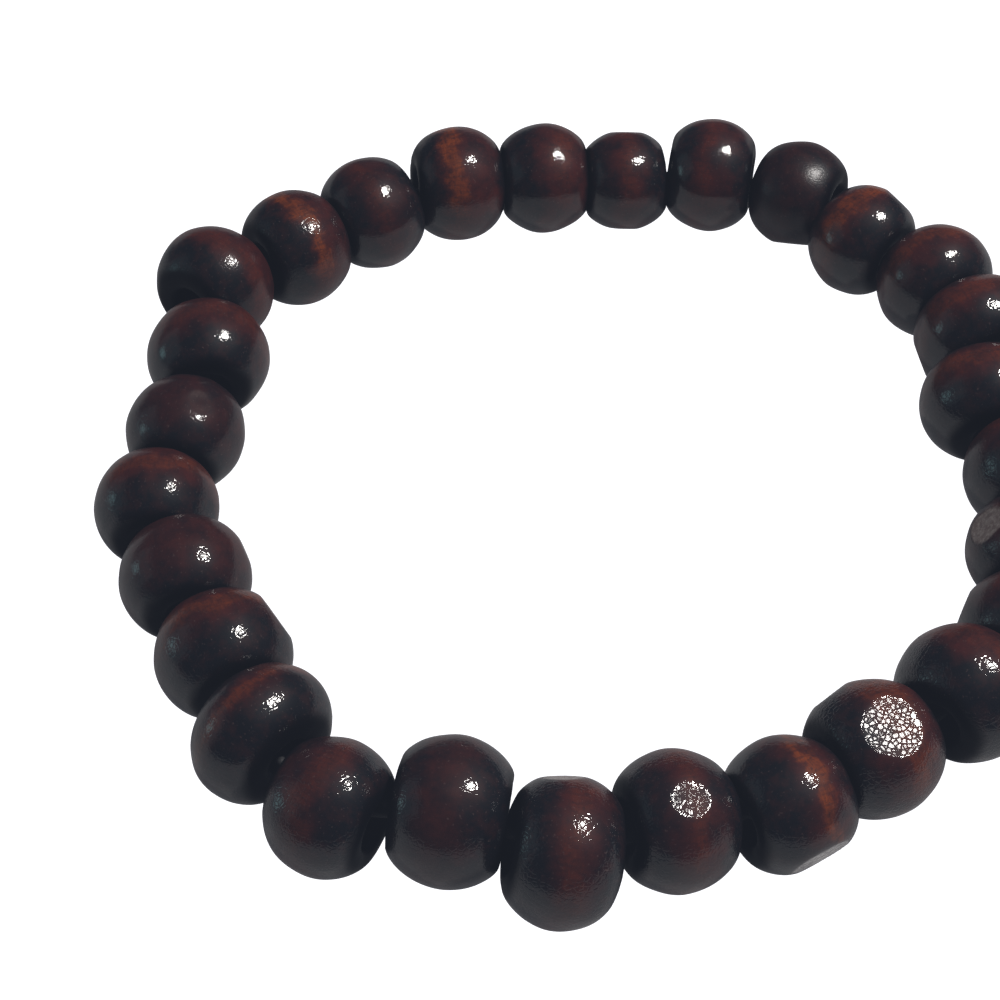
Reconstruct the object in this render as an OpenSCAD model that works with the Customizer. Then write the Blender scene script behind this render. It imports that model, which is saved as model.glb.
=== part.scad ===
// A stretch bracelet: barrel-shaped wooden beads strung on one closed loop of elastic cord.
// It lies flat on the surface z = 0, and the origin is on that surface under the middle of its box.

/* [Beads] */
// Diameter of an average bead round its girth
bead_diameter = 10; // [9:0.1:12]
// Length of an average bead along its bore
bead_length = 6.8; // [6:0.1:7.6]
// Diameter of the flat face at each end of an average bead
end_face_diameter = 6.2; // [5.2:0.1:6.8]
// Diameter of the bore drilled through every bead
bore_diameter = 3.2; // [3:0.1:3.8]
// Width of the bevel round each mouth of a bore
bore_bevel = 0.3; // [0.1:0.05:0.5]

/* [Stringing] */
// Diameter of the elastic cord
cord_diameter = 0.8; // [0.5:0.1:1]
// Diameter of the knot that closes the cord, hidden in a bore
knot_diameter = 1.8; // [1.4:0.1:2.2]
// Length of the knot along the cord
knot_length = 2.4; // [2:0.1:3.2]
// Gap between two neighbouring beads where they come closest
bead_gap = 0.2; // [0.18:0.01:0.4]

/* [Hidden] */
$fn = 64;
BEAD_BROWN = [0.19, 0.09, 0.08];
CORD_BLACK = [0.05, 0.05, 0.05];
CORD_SIDES = 8;
// A length by which a cutting tool runs past what it cuts
OVERSHOOT = 0.5;

// One row for each bead, in order round the loop, clockwise seen from above.
// GIRTH and LENGTH are shares of the average bead. HEADING is the way that its bore points,
// in degrees from +X, and RISE is how far the bore points above level. SLIP is how far the
// bead has slipped outwards on the cord, as a share of the room that its bore leaves.
GIRTH = 0;
LENGTH = 1;
HEADING = 2;
RISE = 3;
SLIP = 4;
BEADS = [
    [1.03, 1.01, 59, -6, 1.15],
    [1.01, 1.04, 38, -6, -0.40],
    [0.99, 1.05, 30, 4, -0.25],
    [1.02, 1.08, 10, -5, 0.45],
    [0.98, 1.08, 4, 0, 0.35],
    [0.91, 1.00, 4, 1, -0.15],
    [1.01, 1.04, -13, 2, 0.35],
    [0.95, 1.03, -31, 6, 0.80],
    [0.96, 0.99, -49, 0, -0.65],
    [1.00, 0.97, -67, 0, 0.65],
    [1.06, 0.96, -75, 1, 0.60],
    [1.04, 0.98, -86, -5, -1.10],
    [0.99, 1.01, -90, 2, 0.30],
    [0.94, 0.97, -102, -1, -0.25],
    [0.98, 0.96, -124, 1, 0.75],
    [0.99, 1.01, -134, 2, -0.15],
    [0.96, 1.06, -156, 3, -0.60],
    [0.93, 1.02, -157, 3, 0.40],
    [0.95, 1.01, -167, 10, -0.65],
    [1.02, 0.99, -184, 12, 0.70],
    [1.02, 1.07, -190, 5, -1.05],
    [0.95, 0.99, -207, -1, 0.60],
    [1.04, 0.85, -227, -2, -0.60],
    [0.99, 1.02, -247, -1, -1.35],
    [0.98, 1.02, -258, -2, -0.30],
    [0.95, 1.00, -263, -2, 1.25],
    [0.94, 1.04, -278, 2, 0.15],
    [1.00, 1.08, -264, -1, -0.60],
];
bead_count = len(BEADS);
// The bead whose bore hides the knot
KNOT_BEAD = 13;

// One row for each flat or worn place: the bead's number, the place's bearing round the bore in
// degrees (0 faces outwards, 90 up, 180 inwards), its lean along the bore in degrees, and its
// depth as a share of the average bead's diameter.
FLAT_BEAD = 0;
BEARING = 1;
LEAN = 2;
DEPTH = 3;
FLATS = [
    [6, 50, 5, 0.02],
    [6, -130, -5, 0.015],
    [8, -130, 10, 0.03],
    [9, 40, 10, 0.02],
    [11, -155, -10, 0.025],
    [14, 145, 0, 0.03],
    [15, 180, 5, 0.015],
    [17, 78, 1, 0.05],
    [17, 160, 15, 0.02],
    [18, -12, -5, 0.06],
    [19, 80, 5, 0.015],
    [20, 147, 10, 0.03],
    [24, 165, 10, 0.04],
    [25, 170, 10, 0.01],
    [27, 115, 0, 0.015],
];

function row(i) = BEADS[(i + bead_count) % bead_count];
function bead_radius(i) = row(i)[GIRTH] * bead_diameter / 2;
function face_radius(i) = row(i)[GIRTH] * end_face_diameter / 2;
function half_length(i) = row(i)[LENGTH] * bead_length / 2;
function unit(v) = v / norm(v);

// A bead's side is an arc turned round the bore: this is how far the arc's centre lies from the bore's axis.
function arc_offset(i) =
    (pow(bead_radius(i), 2) - pow(face_radius(i), 2) - pow(half_length(i), 2))
    / (2 * (bead_radius(i) - face_radius(i)));
function arc_radius(i) = bead_radius(i) - arc_offset(i);

// The direction of a bead's bore, and the height of its middle when its side rests on z = 0.
function bore_axis(i) =
    let (heading = row(i)[HEADING], rise = row(i)[RISE])
    [cos(rise) * cos(heading), cos(rise) * sin(heading), sin(rise)];
function middle_height(i) = arc_radius(i) + arc_offset(i) * cos(row(i)[RISE]);

// How far the next bead lies to the side of this one, because each has slipped on the cord.
slip_room = (bore_diameter - cord_diameter) / 2;
function sideways(i) = (row(i + 1)[SLIP] - row(i)[SLIP]) * slip_room;

// Two neighbours lean apart by the turn between their bores, and come closest rim to rim.
// A step to the side takes one rim past the other, so that they can come closer.
function joint_axis(i) = unit(bore_axis(i) + bore_axis(i + 1));
function half_turn(i) = acos(min(1, bore_axis(i) * joint_axis(i)));
function joint_spacing(i) =
    bead_gap
    + (half_length(i) + half_length(i + 1)) * cos(half_turn(i))
    + (face_radius(i) + face_radius(i + 1)) * sin(half_turn(i))
    - abs(sideways(i)) * tan(half_turn(i));

// The step over the surface from the middle of one bead to the middle of the next.
function bead_step(i) =
    let (
        axis = joint_axis(i),
        level = norm([axis.x, axis.y]),
        ahead = [axis.x, axis.y] / level,
        climb = middle_height(i + 1) - middle_height(i)
    )
    ahead * (joint_spacing(i) - climb * axis.z) / level + [-ahead.y, ahead.x] * sideways(i);

// The steps in order round the loop; what they miss at the end is shared out evenly between them.
walk = [for (i = 0, p = [0, 0]; i <= bead_count; p = p + bead_step(i), i = i + 1) p];
miss = walk[bead_count];
loop = [for (i = [0 : bead_count - 1]) walk[i] - miss * i / bead_count];

// How far a bead reaches from its middle in a level direction, to its rim or to its arc.
function reach(i, direction) =
    let (
        along = abs(bore_axis(i) * direction),
        across = sqrt(1 - along * along)
    )
    along * arc_radius(i) <= half_length(i)
        ? arc_offset(i) * across + arc_radius(i)
        : half_length(i) * along + face_radius(i) * across;
function low_side(k, direction) = min([for (i = [0 : bead_count - 1]) loop[i][k] - reach(i, direction)]);
function high_side(k, direction) = max([for (i = [0 : bead_count - 1]) loop[i][k] + reach(i, direction)]);
box_middle = [
    (low_side(0, [1, 0, 0]) + high_side(0, [1, 0, 0])) / 2,
    (low_side(1, [0, 1, 0]) + high_side(1, [0, 1, 0])) / 2
];
function bead_middle(i) =
    let (
        k = (i + bead_count) % bead_count,
        place = loop[k] - box_middle
    )
    [place.x, place.y, middle_height(k)];

function bead_name(i) = str("bead_", i < 9 ? "0" : "", i + 1);

// The outline that is turned into a bead: an arc between two flat ends, open at the bore.
module bead_outline(i) {
    intersection() {
        translate([arc_offset(i), 0])
            circle(r = arc_radius(i));
        translate([bore_diameter / 2, -half_length(i)])
            square([bead_radius(i), 2 * half_length(i)]);
    }
}

// The bevels at the two mouths of a bore, as cutting cones.
module mouth_bevels(i) {
    for (end = [0, 1])
        mirror([0, 0, end])
            translate([0, 0, half_length(i) - bore_bevel])
                cylinder(
                    h = bore_bevel + OVERSHOOT,
                    r1 = bore_diameter / 2,
                    r2 = bore_diameter / 2 + bore_bevel + OVERSHOOT
                );
}

// A block that cuts one flat on a bead that lies with its bore along X and its outer side at +Y.
module flat_cutter(i, flat) {
    surface_at = arc_radius(i) + arc_offset(i) * cos(flat[LEAN]);
    rotate([flat[BEARING], 0, 0])
        rotate([0, 0, -flat[LEAN]])
            translate([0, surface_at - flat[DEPTH] * bead_diameter + bead_diameter / 2, 0])
                cube(bead_diameter, center = true);
}

module bead(i) {
    color(BEAD_BROWN)
        translate(bead_middle(i))
            rotate([0, -row(i)[RISE], row(i)[HEADING]])
                difference() {
                    rotate([0, 90, 0])
                        difference() {
                            rotate_extrude() bead_outline(i);
                            mouth_bevels(i);
                        }
                    for (flat = FLATS)
                        if (flat[FLAT_BEAD] == i + 1) flat_cutter(i, flat);
                }
}

// The cord runs through the middle of each bead and crosses to the next bead half way between their mouths.
function crossing(i) =
    (bead_middle(i) + bore_axis(i) * half_length(i)
    + bead_middle(i + 1) - bore_axis(i + 1) * half_length(i + 1)) / 2;
function cord_rings_in(i) =
    i == KNOT_BEAD
        ? [for (k = [[-1, cord_diameter], [-0.5, knot_diameter], [0.5, knot_diameter], [1, cord_diameter]])
            [bead_middle(i) + bore_axis(i) * k[0] * knot_length / 2, k[1] / 2]]
        : [[bead_middle(i), cord_diameter / 2]];
cord_rings = [
    for (i = [0 : bead_count - 1])
        each concat(cord_rings_in(i), [[crossing(i), cord_diameter / 2]])
];
ring_count = len(cord_rings);
function cord_point(k) = cord_rings[(k + ring_count) % ring_count][0];
function cord_ring(k) =
    let (
        ahead = unit(cord_point(k + 1) - cord_point(k - 1)),
        side = unit(cross(ahead, [0, 0, 1])),
        up = cross(side, ahead)
    )
    [for (j = [0 : CORD_SIDES - 1])
        cord_point(k) + cord_rings[k][1] * (side * cos(360 * j / CORD_SIDES) + up * sin(360 * j / CORD_SIDES))];

module elastic_cord() {
    points = [for (k = [0 : ring_count - 1]) each cord_ring(k)];
    faces = [
        for (k = [0 : ring_count - 1], j = [0 : CORD_SIDES - 1])
            let (
                next_k = (k + 1) % ring_count,
                next_j = (j + 1) % CORD_SIDES,
                a = k * CORD_SIDES + j,
                b = k * CORD_SIDES + next_j,
                c = next_k * CORD_SIDES + next_j,
                d = next_k * CORD_SIDES + j
            )
            each [[a, b, c], [a, c, d]]
    ];
    color(CORD_BLACK)
        polyhedron(points = points, faces = faces, convexity = 4);
}

for (i = [0 : bead_count - 1])
    bead(i);
elastic_cord();
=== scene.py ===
import math

import bpy
import numpy as np
from mathutils import Matrix, Vector
from mathutils.bvhtree import BVHTree


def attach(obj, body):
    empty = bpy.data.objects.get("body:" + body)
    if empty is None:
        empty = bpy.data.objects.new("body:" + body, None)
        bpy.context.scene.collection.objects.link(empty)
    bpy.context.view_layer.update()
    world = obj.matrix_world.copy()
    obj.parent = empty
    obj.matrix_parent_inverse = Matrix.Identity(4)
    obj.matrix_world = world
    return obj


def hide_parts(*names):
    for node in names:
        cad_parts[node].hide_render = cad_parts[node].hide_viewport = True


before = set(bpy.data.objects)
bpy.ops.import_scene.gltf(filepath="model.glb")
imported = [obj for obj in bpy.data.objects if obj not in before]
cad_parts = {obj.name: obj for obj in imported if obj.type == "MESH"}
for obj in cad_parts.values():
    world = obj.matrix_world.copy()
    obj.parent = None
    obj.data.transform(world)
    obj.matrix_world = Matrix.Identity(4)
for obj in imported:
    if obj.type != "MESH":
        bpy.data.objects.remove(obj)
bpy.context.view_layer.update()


# Wooden beads: each is turned on a lathe, drilled, tumbled in dark mahogany stain and dipped in clear
# lacquer. The end grain round the bores drinks most stain and dries blue-black, and near the ends, where
# the beads meet, and in the mouths of the bores it is painted near black as painted shade. A red-brown
# band stays between the ends, at another place and in another shade on every bead.

# One row for each bead. The CORE of the band is the least stained, and a wider HALO of brown lies round
# it, often off to one side. Each has its place, its half width and its depth of colour. Places and half
# widths are shares of the half length, from -1 at one end face to 1 at the other, and the bore points
# clockwise. WARMTH goes from maroon to orange, and the orange is painted stronger towards the top as
# painted light from above. SKIN is how cobbled the lacquer dried, WORN_AND_REFLECTED how far a flat place
# is painted pale, partly as rubbed wear and partly as a painted reflection of the pale table, and DULL
# how matt the lacquer dried.
CORE, CORE_HALF, CORE_DEPTH, WARMTH, HALO, HALO_HALF, HALO_DEPTH, SKIN, WORN_AND_REFLECTED, DULL = range(10)
BANDS = {
    1: (0.05, 0.30, 0.78, 0.15, 0.35, 0.65, 0.58, 0.45, 0.0, 0.4),
    2: (-0.08, 0.26, 0.95, 1.10, 0.25, 0.60, 0.50, 0.80, 0.0, 0.4),
    3: (-0.15, 0.24, 0.60, 0.20, 0.00, 0.60, 0.30, 0.25, 0.0, 0.0),
    4: (-0.22, 0.24, 0.92, 1.00, 0.25, 0.65, 0.60, 0.50, 0.0, 0.1),
    5: (0.40, 0.28, 0.55, 0.30, 0.45, 0.65, 0.60, 0.40, 0.0, 0.0),
    6: (0.00, 0.26, 0.75, 0.22, 0.00, 0.50, 0.40, 0.40, 0.0, 0.0),
    7: (-0.12, 0.26, 0.95, 0.12, 0.10, 0.55, 0.40, 0.25, 0.0, 0.0),
    8: (-0.15, 0.40, 0.12, 0.10, 0.00, 0.80, 0.14, 0.40, 0.0, 1.0),
    9: (-0.22, 0.34, 1.00, 0.70, -0.20, 0.55, 0.40, 0.40, 0.2, 0.0),
    10: (-0.25, 0.28, 0.65, 0.60, -0.20, 0.60, 0.40, 0.45, 0.0, 0.0),
    11: (-0.22, 0.38, 0.80, 0.30, -0.20, 0.60, 0.45, 0.45, 0.0, 0.0),
    12: (-0.36, 0.30, 0.75, 0.45, -0.30, 0.55, 0.45, 0.45, 0.0, 0.0),
    13: (-0.50, 0.30, 0.40, 0.25, -0.40, 0.50, 0.30, 0.60, 0.0, 0.2),
    14: (-0.10, 0.40, 0.35, 0.30, 0.00, 0.70, 0.35, 0.70, 0.9, 0.4),
    15: (-0.10, 0.35, 0.40, 0.25, 0.00, 0.60, 0.30, 0.60, 0.7, 0.3),
    16: (-0.35, 0.32, 0.50, 0.35, -0.40, 0.60, 0.50, 0.90, 0.0, 0.0),
    17: (-0.20, 0.40, 0.85, 0.50, -0.20, 0.70, 0.45, 1.10, 0.0, 0.0),
    18: (-0.22, 0.22, 0.90, 1.00, -0.20, 0.50, 0.40, 0.55, 1.0, 0.0),
    19: (-0.05, 0.24, 0.78, 0.25, 0.00, 0.55, 0.45, 0.80, 0.0, 0.0),
    20: (0.00, 0.30, 0.60, 0.30, -0.05, 0.55, 0.40, 0.80, 0.6, 0.0),
    21: (0.15, 0.42, 0.22, 0.15, 0.15, 0.60, 0.24, 0.50, 0.0, 0.0),
    22: (0.10, 0.28, 0.60, 0.25, 0.15, 0.60, 0.30, 0.75, 0.0, 0.0),
    23: (0.26, 0.24, 0.85, 0.45, 0.25, 0.45, 0.26, 0.50, 0.0, 0.0),
    24: (0.36, 0.30, 0.75, 0.65, 0.35, 0.60, 0.45, 0.55, 0.0, 0.0),
    25: (0.20, 0.45, 0.20, 0.15, 0.15, 0.80, 0.35, 0.42, 0.0, 0.1),
    26: (0.28, 0.34, 0.60, 0.55, 0.30, 0.65, 0.50, 0.55, 0.0, 0.1),
    27: (0.00, 0.50, 0.12, 0.10, 0.10, 0.80, 0.25, 0.50, 0.2, 0.1),
    28: (0.18, 0.38, 0.60, 0.25, 0.20, 0.70, 0.50, 0.30, 0.0, 0.0),
}
FACET = 0.00017               # size of the facets that the rims are worn over
RIM_WEAR = 48                 # how many times the rims are worn
LUMP_SIZE = 0.0032            # width of the lumps that tumbling leaves
LUMP_HEIGHT = 0.00018
SMALLEST_FLAT = 0.0000025     # area of the least flat place that counts as one
OPPOSITE = -0.99              # cosine past which two flats face opposite ways
RUBBED = 0.00006              # how much deeper than drawn the flats are rubbed
END_GRAIN_AND_SHADE_FROM = 0.80              # share of the half length from which the end grain shows and the ends are painted dark as shade
SHADED_MOUTH = 0.00215               # radius within which a bead is bare of lacquer and painted black as shade at its bore's mouth
SHADED_MOUTH_EDGE = 0.00020          # width over which it turns bare and black
TOUCH = 0.00003               # what stays between two beads that the elastic pulls together
FILLED = 0.00040              # how wide a gap they close to that
PULLED_FROM = 0.2             # share of the half length from which a bead is drawn out to its neighbour
PULLED_FULLY = 0.9            # and from which it is drawn out all the way
NEXT_LOG = 40.0               # how far apart in the grain two beads were cut, in mm
COBBLE_DEPTH = 0.000022       # depth of the lacquer's skin
STAIN_DARK = (0.0026, 0.0032, 0.0052, 1)
STAIN_BROWN = (0.020, 0.0068, 0.0070, 1)
STAIN_MAROON = (0.047, 0.0082, 0.0070, 1)
# partly stain, partly painted light from above: the orange that the band's heart turns to on a bead's
# upper side
ORANGE_STAIN_AND_TOP_LIGHT = (0.150, 0.031, 0.0065, 1)
# partly wear, partly a painted reflection of the pale table: the pale that flat places are painted
WORN_WOOD_AND_REFLECTION = (0.150, 0.118, 0.105, 1)
SCUFFED = (0.085, 0.055, 0.052, 1)
# painted shade: the near black that the ends, where the beads meet, and the bores' mouths are painted
END_GRAIN_AND_SHADE_BLACK = (0.0010, 0.0012, 0.0020, 1)


def fill(tree, socket, value):
    """Sets a socket, or links another node's output to it."""
    if isinstance(value, bpy.types.NodeSocket):
        tree.links.new(value, socket)
    else:
        socket.default_value = value


def node_after(tree, kind, **inputs):
    node = tree.nodes.new(kind)
    for name, value in inputs.items():
        fill(tree, node.inputs[name], value)
    return node


def maths(tree, operation, a, b=0.0):
    node = tree.nodes.new("ShaderNodeMath")
    node.operation = operation
    fill(tree, node.inputs[0], a)
    fill(tree, node.inputs[1], b)
    return node.outputs[0]


def times(tree, a, b):
    return maths(tree, "MULTIPLY", a, b)


def plus(tree, a, b):
    return maths(tree, "ADD", a, b)


def minus(tree, a, b):
    return maths(tree, "SUBTRACT", a, b)


def ramp(tree, value, low, high, to=(0.0, 1.0), smooth=True):
    """Goes from the first number of to, where the value is low, to the second, where it is high."""
    node = node_after(tree, "ShaderNodeMapRange", Value=value)
    node.interpolation_type = "SMOOTHSTEP" if smooth else "LINEAR"
    for name, number in (("From Min", low), ("From Max", high), ("To Min", to[0]), ("To Max", to[1])):
        node.inputs[name].default_value = number
    return node.outputs["Result"]


def blend_colours(tree, share, a, b):
    node = tree.nodes.new("ShaderNodeMix")
    node.data_type = "RGBA"
    fill(tree, node.inputs[0], share)
    fill(tree, node.inputs[6], a)
    fill(tree, node.inputs[7], b)
    return node.outputs[2]


def point_value(tree, name):
    node = tree.nodes.new("ShaderNodeAttribute")
    node.attribute_name = name
    return node


def patches(tree, place, scale, detail, roughness):
    """Soft random patches from 0 to 1, about as many to a millimetre as scale says."""
    node = node_after(tree, "ShaderNodeTexNoise", Vector=place, Scale=scale, Detail=detail)
    node.inputs["Roughness"].default_value = roughness
    return node.outputs["Fac"]


def drawn_out(tree, place, squeezed):
    """A place in the wood with its sides squeezed, so that patches over it are drawn out."""
    node = node_after(tree, "ShaderNodeMapping", Vector=place)
    node.inputs["Scale"].default_value = squeezed
    return node.outputs[0]


def lacquered_wood():
    material = bpy.data.materials.new("stained_lacquered_wood")
    material.use_nodes = True
    tree = material.node_tree
    shader = tree.nodes["Principled BSDF"]
    place = point_value(tree, "turned").outputs["Vector"]
    along = point_value(tree, "along_bore").outputs["Fac"]
    core = node_after(tree, "ShaderNodeSeparateColor", Color=point_value(tree, "core").outputs["Color"])
    halo = node_after(tree, "ShaderNodeSeparateColor", Color=point_value(tree, "halo").outputs["Color"])
    warmth = point_value(tree, "core").outputs["Alpha"]
    skin = point_value(tree, "halo").outputs["Alpha"]
    dull = point_value(tree, "dull").outputs["Fac"]
    rubbed = point_value(tree, "rubbed").outputs["Fac"]
    end_grain_and_shade = point_value(tree, "end_grain_and_shade").outputs["Fac"]

    # the band's edges wander as the stain crept along the grain, and fade out over a blotchy brown
    wander = patches(tree, place, scale=0.26, detail=1.5, roughness=0.5)
    creep = patches(tree, place, scale=1.1, detail=4.0, roughness=0.50)
    blotch = patches(tree, place, scale=0.6, detail=4.0, roughness=0.6)
    shifted = plus(tree, along, ramp(tree, wander, 0.25, 0.75, to=(-0.20, 0.20), smooth=False))
    shifted = plus(tree, shifted, ramp(tree, creep, 0.25, 0.75, to=(-0.14, 0.14), smooth=False))

    def past_edge(band):
        """How far outside the band a place lies, and below 0 inside it."""
        middle = minus(tree, times(tree, band.outputs["Red"], 2.0), 1.0)
        away = maths(tree, "ABSOLUTE", minus(tree, shifted, middle))
        return minus(tree, away, band.outputs["Green"])

    core_edge = past_edge(core)
    halo_edge = past_edge(halo)
    core_share = times(tree, ramp(tree, core_edge, 0.20, -0.18), core.outputs["Blue"])
    halo_share = times(tree, ramp(tree, halo_edge, 0.22, -0.30), halo.outputs["Blue"])
    core_share = times(tree, core_share, ramp(tree, blotch, 0.30, 0.60, to=(0.40, 1.0)))
    halo_share = times(tree, halo_share, ramp(tree, blotch, 0.35, 0.65, to=(0.45, 1.6), smooth=False))

    # turning lines run round the bead, the grain runs along its bore, and pores freckle it
    lines = patches(tree, drawn_out(tree, place, (3.4, 0.35, 0.35)), scale=1.6, detail=5.0, roughness=0.7)
    grain = patches(tree, drawn_out(tree, place, (0.30, 2.6, 2.6)), scale=1.6, detail=4.0, roughness=0.65)
    freckles = patches(tree, place, scale=3.2, detail=3.0, roughness=0.6)
    mottle = patches(tree, place, scale=0.9, detail=3.0, roughness=0.7)
    specks = patches(tree, place, scale=4.5, detail=2.0, roughness=0.6)

    # painted light from above: the heart of the band turns more orange from just under the bead's middle
    # upwards
    up = node_after(tree, "ShaderNodeSeparateXYZ", Vector=place).outputs["Z"]
    lit_from_above = times(tree, warmth, ramp(tree, up, -0.8, 3.4, to=(0.08, 1.0)))
    orange = times(tree, lit_from_above, ramp(tree, core_edge, 0.04, -0.2))
    red = blend_colours(tree, orange, STAIN_MAROON, ORANGE_STAIN_AND_TOP_LIGHT)
    red = blend_colours(tree, ramp(tree, lines, 0.40, 0.60, to=(0.30, 0.0)), red, STAIN_BROWN)
    red = blend_colours(tree, ramp(tree, grain, 0.36, 0.54, to=(0.45, 0.0)), red, STAIN_BROWN)
    red = blend_colours(tree, ramp(tree, freckles, 0.52, 0.68, to=(0.0, 0.60)), red, STAIN_BROWN)
    dark = blend_colours(tree, ramp(tree, mottle, 0.42, 0.66, to=(0.0, 0.55)), STAIN_DARK, STAIN_BROWN)
    colour = blend_colours(tree, halo_share, dark, STAIN_MAROON)
    colour = blend_colours(tree, core_share, colour, red)
    colour = blend_colours(tree, ramp(tree, specks, 0.62, 0.76, to=(0.0, 0.40)), colour, SCUFFED)
    # painted reflection: flat places are painted pale, partly as rubbed wear and partly as the reflection
    # of the pale table they face
    worn = point_value(tree, "worn").outputs["Fac"]
    worn = times(tree, worn, ramp(tree, freckles, 0.35, 0.60, to=(0.5, 1.0)))
    colour = blend_colours(tree, worn, colour, WORN_WOOD_AND_REFLECTION)
    # painted shade: near the ends, where the beads meet, and in the bores' mouths the colour turns near
    # black, over the darker end grain
    colour = blend_colours(tree, end_grain_and_shade, colour, END_GRAIN_AND_SHADE_BLACK)
    tree.links.new(colour, shader.inputs["Base Color"])

    # the skin of the lacquer: cobbles with thin grooves between them, over the swells of the turning lines
    cobbles = node_after(tree, "ShaderNodeTexVoronoi", Vector=place, Scale=2.9, Randomness=1.0)
    cobbles.feature = "DISTANCE_TO_EDGE"
    cobbles = times(tree, ramp(tree, cobbles.outputs["Distance"], 0.0, 0.16, smooth=False), 0.50)
    dimples = times(tree, patches(tree, place, scale=1.0, detail=2.0, roughness=0.5), 0.6)
    swells = patches(tree, drawn_out(tree, place, (1.0, 0.16, 0.16)), scale=0.8, detail=2.0, roughness=0.5)
    swells = times(tree, swells, times(tree, minus(tree, 1.0, rubbed), 2.2))
    height = times(tree, plus(tree, cobbles, dimples), skin)
    for relief in (swells, times(tree, lines, 0.25), times(tree, grain, 0.35)):
        height = plus(tree, height, relief)
    cobbled = node_after(tree, "ShaderNodeBump", Height=height, Strength=1.0, Distance=COBBLE_DEPTH)
    tree.links.new(cobbled.outputs["Normal"], shader.inputs["Coat Normal"])

    # the lacquer is thin, so it mirrors little where it is seen edge on, where a cobbled flat was rubbed
    # and where it dried matt, and the end grain has soaked it up
    edge_on = node_after(tree, "ShaderNodeLayerWeight", Blend=0.5).outputs["Facing"]
    gloss = ramp(tree, edge_on, 0.25, 0.85, to=(0.7, 0.30))
    rubbed_cobbles = times(tree, rubbed, skin)
    gloss = times(tree, gloss, ramp(tree, rubbed_cobbles, 0.4, 0.9, to=(1.0, 0.19), smooth=False))
    gloss = times(tree, gloss, ramp(tree, dull, 0.0, 1.0, to=(1.0, 0.5), smooth=False))
    gloss = times(tree, maths(tree, "MAXIMUM", gloss, worn), minus(tree, 1.0, end_grain_and_shade))
    tree.links.new(gloss, shader.inputs["Coat Weight"])
    blur = ramp(tree, maths(tree, "MAXIMUM", dull, worn), 0.0, 1.0, to=(0.05, 0.30), smooth=False)
    tree.links.new(blur, shader.inputs["Coat Roughness"])
    shine = ramp(tree, end_grain_and_shade, 0.0, 1.0, to=(0.08, 0.03), smooth=False)
    tree.links.new(shine, shader.inputs["Specular IOR Level"])
    shader.inputs["Coat IOR"].default_value = 1.5
    shader.inputs["Roughness"].default_value = 0.50
    return material


def copy_of_solid(node, name):
    """Copies a solid as a piece of its own, joins its triangles and leaves only that piece selected."""
    piece = bpy.data.objects.new(name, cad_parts[node].data.copy())
    bpy.context.scene.collection.objects.link(piece)
    bpy.ops.object.select_all(action="DESELECT")
    piece.select_set(True)
    bpy.context.view_layer.objects.active = piece
    bpy.ops.object.mode_set(mode="EDIT")
    bpy.ops.mesh.select_all(action="SELECT")
    bpy.ops.mesh.remove_doubles(threshold=0.000001)
    bpy.ops.mesh.normals_make_consistent(inside=False)
    bpy.ops.object.mode_set(mode="OBJECT")
    return piece


def flat_faces(mesh):
    """The flat faces of a bead, as [way it faces, its middle, its area], the two drilled ends first."""
    count = len(mesh.polygons)
    normals, middles, areas = np.zeros(count * 3), np.zeros(count * 3), np.zeros(count)
    mesh.polygons.foreach_get("normal", normals)
    mesh.polygons.foreach_get("center", middles)
    mesh.polygons.foreach_get("area", areas)
    normals, middles = normals.reshape(-1, 3), middles.reshape(-1, 3)

    # triangles that face the same way to a hundredth are one flat
    groups = {}
    for index, key in enumerate(map(tuple, (normals * 100).round().astype(int))):
        groups.setdefault(key, []).append(index)
    flats = []
    for faces in groups.values():
        area = areas[faces].sum()
        if area > SMALLEST_FLAT:
            way = (normals[faces] * areas[faces, None]).sum(0)
            middle = (middles[faces] * areas[faces, None]).sum(0) / area
            flats.append([way / np.linalg.norm(way), middle, area])

    # the two drilled ends are the largest pair that faces opposite ways
    def against_the_others(flat):
        return max([min(flat[2], other[2]) for other in flats if flat[0] @ other[0] < OPPOSITE] + [0.0])

    return sorted(flats, key=against_the_others, reverse=True)


def eased(share):
    return share * share * (3 - 2 * share)


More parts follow.
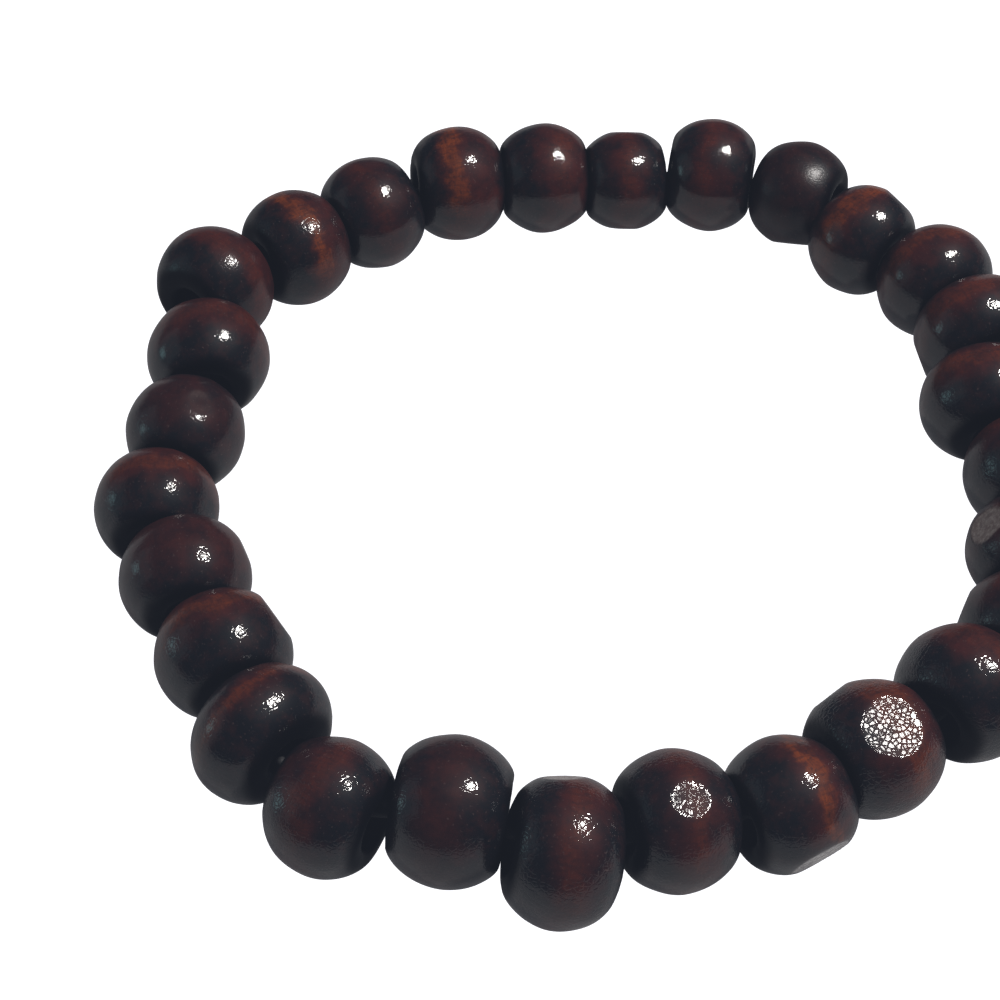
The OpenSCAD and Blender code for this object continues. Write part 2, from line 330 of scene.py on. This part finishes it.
def finish_bead(number, material):
    """Wears and rubs a copy of a bead's solid, and marks its points for the stain, the painted shade and
    reflection, and the lacquer.
    """
    bead = copy_of_solid("bead_%02d" % number, "wooden_bead_%02d" % number)

    # the bore points clockwise, seen from above
    flats = flat_faces(bead.data)
    first, last = flats[0][1], flats[1][1]
    middle = (first + last) / 2
    bore = last - first
    if bore[0] * middle[1] - bore[1] * middle[0] < 0:
        bore = -bore
    half_length = np.linalg.norm(bore) / 2
    bore /= np.linalg.norm(bore)
    outward = np.array([-bore[1], bore[0], 0.0])
    outward /= np.linalg.norm(outward)
    upward = np.cross(bore, outward)

    # tumbling wears the rims round and leaves the sides slightly uneven
    remesh = bead.modifiers.new("facets", "REMESH")
    remesh.mode = "VOXEL"
    remesh.voxel_size = FACET
    bpy.ops.object.modifier_apply(modifier="facets")
    wear = bead.modifiers.new("wear", "SMOOTH")
    wear.factor = 0.5
    wear.iterations = RIM_WEAR
    bpy.ops.object.modifier_apply(modifier="wear")
    lumps = bpy.data.textures.new("lumps_%02d" % number, "CLOUDS")
    lumps.noise_scale = LUMP_SIZE
    lumps.noise_depth = 1
    uneven = bead.modifiers.new("uneven", "DISPLACE")
    uneven.texture = lumps
    uneven.texture_coords = "LOCAL"
    uneven.strength = LUMP_HEIGHT
    uneven.mid_level = 0.5
    bpy.ops.object.modifier_apply(modifier="uneven")
    bpy.data.textures.remove(lumps)
    bpy.ops.object.shade_smooth()

    # the flats are rubbed down a little deeper than they were drawn
    mesh = bead.data
    places = np.zeros(len(mesh.vertices) * 3)
    mesh.vertices.foreach_get("co", places)
    places = places.reshape(-1, 3)
    rubbed = np.zeros(len(places))
    for way, there, _ in flats[2:]:
        proud = np.maximum((places - there) @ way + RUBBED, 0)
        places -= proud[:, None] * way
        rubbed = np.maximum(rubbed, np.clip(proud / RUBBED * 2, 0, 1))
    mesh.vertices.foreach_set("co", places.ravel())
    mesh.update()

    # each point's place in the wood, along the bore, outwards and upwards
    local = (places - middle) @ np.stack([bore, outward, upward], -1)
    turned = local * 1000 + [NEXT_LOG * number, 0.0, 0.0]
    along = local[:, 0] / half_length
    # the ends, where the beads meet, and the mouths of the bores are painted dark as painted shade, over
    # the darker end grain
    ends = np.clip((np.abs(along) - END_GRAIN_AND_SHADE_FROM) / (1 - END_GRAIN_AND_SHADE_FROM), 0, 1)
    from_bore = np.hypot(local[:, 1], local[:, 2])
    end_grain_and_shade = np.maximum(eased(ends), np.clip((SHADED_MOUTH - from_bore) / SHADED_MOUTH_EDGE, 0, 1))

    # core and halo go on the points as colours: red is the place as a share from 0 to 1, green the half
    # width and blue the depth
    row = BANDS[number]
    all_over = np.ones((len(places), 1))
    core = all_over * [row[CORE] * 0.5 + 0.5, row[CORE_HALF], row[CORE_DEPTH], row[WARMTH]]
    halo = all_over * [row[HALO] * 0.5 + 0.5, row[HALO_HALF], row[HALO_DEPTH], row[SKIN]]
    # the points also carry painted light: a pale painted reflection on the flats, and painted shade at the
    # ends and bore mouths
    for name, kind, field, values in (
        ("turned", "FLOAT_VECTOR", "vector", turned),
        ("along_bore", "FLOAT", "value", along),
        ("end_grain_and_shade", "FLOAT", "value", end_grain_and_shade),
        ("worn", "FLOAT", "value", rubbed * row[WORN_AND_REFLECTED]),
        ("dull", "FLOAT", "value", all_over * row[DULL]),
        ("rubbed", "FLOAT", "value", rubbed),
        ("core", "FLOAT_COLOR", "color", core),
        ("halo", "FLOAT_COLOR", "color", halo),
    ):
        layer = mesh.attributes.new(name, kind, "POINT")
        layer.data.foreach_set(field, np.ascontiguousarray(values).ravel())

    mesh.materials.clear()
    mesh.materials.append(material)
    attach(bead, "root")
    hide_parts("bead_%02d" % number)
    return {"piece": bead, "places": places, "along": along, "bore": bore}


def pull_together(bead, after):
    """The elastic holds the beads end to end, so the two ends at a joint grow until they all but touch."""
    meshes = bpy.context.evaluated_depsgraph_get()
    bead_skin = BVHTree.FromObject(bead["piece"], meshes)
    after_skin = BVHTree.FromObject(after["piece"], meshes)
    for side, one, other in ((1, bead, after_skin), (-1, after, bead_skin)):
        share = eased(np.clip((side * one["along"] - PULLED_FROM) / (PULLED_FULLY - PULLED_FROM), 0, 1))
        ahead = side * one["bore"]
        for index in np.flatnonzero(share):
            gap = other.ray_cast(one["places"][index], ahead, FILLED)[3]
            reach = max(0.0, (gap or FILLED) - TOUCH) / 2
            one["places"][index] += reach * share[index] * ahead
        one["piece"].data.vertices.foreach_set("co", one["places"].ravel())
        one["piece"].data.update()


wood = lacquered_wood()
beads = [finish_bead(number, wood) for number in sorted(BANDS)]
for bead, after in zip(beads, beads[1:] + beads[:1]):
    pull_together(bead, after)


# Elastic cord: a round stretch cord of black rubber under a tight braid, threaded through all the bores.
# Its two ends are knotted, and the knot is pulled back into a bore. Only a hair of it shows between beads.
RUBBER_BLACK = (0.004, 0.004, 0.005, 1)
BRAID_GREY = (0.012, 0.012, 0.013, 1)
BRAID_DEPTH = 0.00004


def braided_elastic():
    material = bpy.data.materials.new("braided_black_elastic")
    material.use_nodes = True
    tree = material.node_tree
    shader = tree.nodes["Principled BSDF"]
    place = node_after(tree, "ShaderNodeTexCoord").outputs["Object"]
    ribs = node_after(tree, "ShaderNodeTexNoise", Vector=place, Scale=6000.0, Detail=3.0).outputs["Fac"]
    colour = blend_colours(tree, ribs, RUBBER_BLACK, BRAID_GREY)
    tree.links.new(colour, shader.inputs["Base Color"])
    bump = node_after(tree, "ShaderNodeBump", Height=ribs, Strength=1.0, Distance=BRAID_DEPTH)
    tree.links.new(bump.outputs["Normal"], shader.inputs["Normal"])
    shader.inputs["Roughness"].default_value = 0.7
    return material


cord = copy_of_solid("elastic_cord", "elastic_stretch_cord")
bpy.ops.object.mode_set(mode="EDIT")
bpy.ops.mesh.select_all(action="SELECT")
bpy.ops.mesh.tris_convert_to_quads()
bpy.ops.object.mode_set(mode="OBJECT")
round_off = cord.modifiers.new("round_off", "SUBSURF")
round_off.levels = round_off.render_levels = 2
bpy.ops.object.modifier_apply(modifier="round_off")
bpy.ops.object.shade_smooth()
cord.data.materials.clear()
cord.data.materials.append(braided_elastic())
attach(cord, "root")
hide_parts("elastic_cord")


# The table that the bracelet lies on is pale and matt, and lights the beads from below. The background of
# the photograph was made pure white afterwards, so a white sheet just under the table shows in its place.
SHEET_SIZE = 6.0
MATT_GREY = (0.25, 0.25, 0.25, 1)
COOL_WHITE = (0.93, 0.93, 0.97, 1)


def flat_sheet(name, height, glow):
    bpy.ops.object.select_all(action="DESELECT")
    bpy.ops.mesh.primitive_plane_add(size=SHEET_SIZE, location=(0, 0, height))
    sheet = bpy.context.object
    sheet.name = name
    paper = bpy.data.materials.new(name)
    paper.use_nodes = True
    shader = paper.node_tree.nodes["Principled BSDF"]
    shader.inputs["Base Color"].default_value = MATT_GREY
    shader.inputs["Roughness"].default_value = 1.0
    shader.inputs["Specular IOR Level"].default_value = 0.0
    shader.inputs["Emission Color"].default_value = COOL_WHITE
    shader.inputs["Emission Strength"].default_value = glow
    sheet.data.materials.append(paper)
    return sheet


table = flat_sheet("matt_table", height=-0.00002, glow=0.285)
table.visible_camera = False
backdrop = flat_sheet("white_backdrop", height=-0.00005, glow=1.3)
backdrop.visible_diffuse = backdrop.visible_glossy = backdrop.visible_shadow = False


# Light: one small soft lamp high on the right, a faint cool window low on the left whose lower pane is the
# brightest, and a dim and slightly blue room around.
DIM_ROOM = (0.034, 0.038, 0.052, 1)
VEIL = (-0.0100, -0.0119, -0.0168)
room = bpy.data.worlds.new("dim_room")
room.use_nodes = True
room.node_tree.nodes["Background"].inputs["Color"].default_value = DIM_ROOM
room.node_tree.nodes["Background"].inputs["Strength"].default_value = 1.0
bpy.context.scene.world = room
shown = bpy.context.scene.view_settings
shown.view_transform = "Standard"
# the white surroundings veil the lens, so nothing in the picture is quite black
shown.use_curve_mapping = True
shown.curve_mapping.black_level = VEIL
shown.curve_mapping.update()


def soft_light(name, place, size, watts, colour):
    """A square light that shines at the bracelet's middle."""
    data = bpy.data.lights.new(name, "AREA")
    data.shape = "SQUARE"
    data.size = size
    data.energy = watts
    data.color = colour
    light = bpy.data.objects.new(name, data)
    light.location = place
    light.rotation_euler = Vector(place).to_track_quat("Z", "Y").to_euler()
    bpy.context.scene.collection.objects.link(light)


soft_light("lamp", place=(0.185, 0.040, 0.352), size=0.048, watts=1.95, colour=(1.0, 0.97, 0.94))
soft_light("window", place=(-0.45, 0.00, 0.16), size=0.40, watts=0.11, colour=(0.75, 0.95, 1.0))
soft_light("window_pane", place=(-0.45, 0.02, 0.085), size=0.10, watts=0.05, colour=(0.55, 0.95, 1.0))


# Camera: held close above the near side of the bracelet, looking down at 51 degrees and rolled a little.
# The lens shows as wide an angle as the photograph does.
CAMERA_PLACE = (-0.007366, -0.082101, 0.10079)
DOWN = math.radians(50.84)
ROLL = math.radians(0.87)
FILM_WIDTH = 36.0
FOCAL_LENGTH = 1617.6         # in pixels of the photograph
PHOTO_WIDTH = 1000            # in pixels
lens = bpy.data.cameras.new("camera")
lens.sensor_width = FILM_WIDTH
lens.lens = FILM_WIDTH * FOCAL_LENGTH / PHOTO_WIDTH
lens.clip_start = 0.005
lens.clip_end = 20.0
camera = bpy.data.objects.new("camera", lens)
look = Matrix.Rotation(math.pi / 2 - DOWN, 4, "X") @ Matrix.Rotation(-ROLL, 4, "Z")
camera.matrix_world = Matrix.Translation(CAMERA_PLACE) @ look
bpy.context.scene.collection.objects.link(camera)
bpy.context.scene.camera = camera
